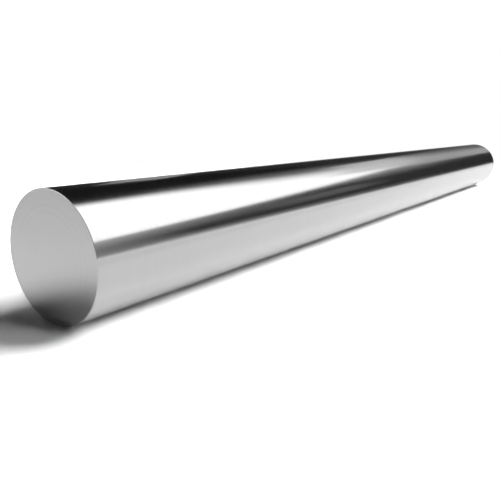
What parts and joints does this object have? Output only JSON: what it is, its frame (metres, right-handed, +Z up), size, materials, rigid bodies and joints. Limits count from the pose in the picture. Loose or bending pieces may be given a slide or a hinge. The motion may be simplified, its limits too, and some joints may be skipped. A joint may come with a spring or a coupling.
{
  "type": "stainless steel round bar",
  "caption": "Solid round bar of polished stainless steel, cut square at both ends, lying on its side.",
  "frame": {"origin": "on the floor under the middle of the bar's length", "axes": "+X along the bar, away from the end face that the picture shows; +Z up; +Y across the bar"},
  "size_m": [0.8, 0.065, 0.065],
  "materials": {
    "polished_stainless_steel": "polished round surface, finely faced ends"
  },
  "bodies": {
    "root": {"round_bar": "polished_stainless_steel"}
  },
  "joints": []
}
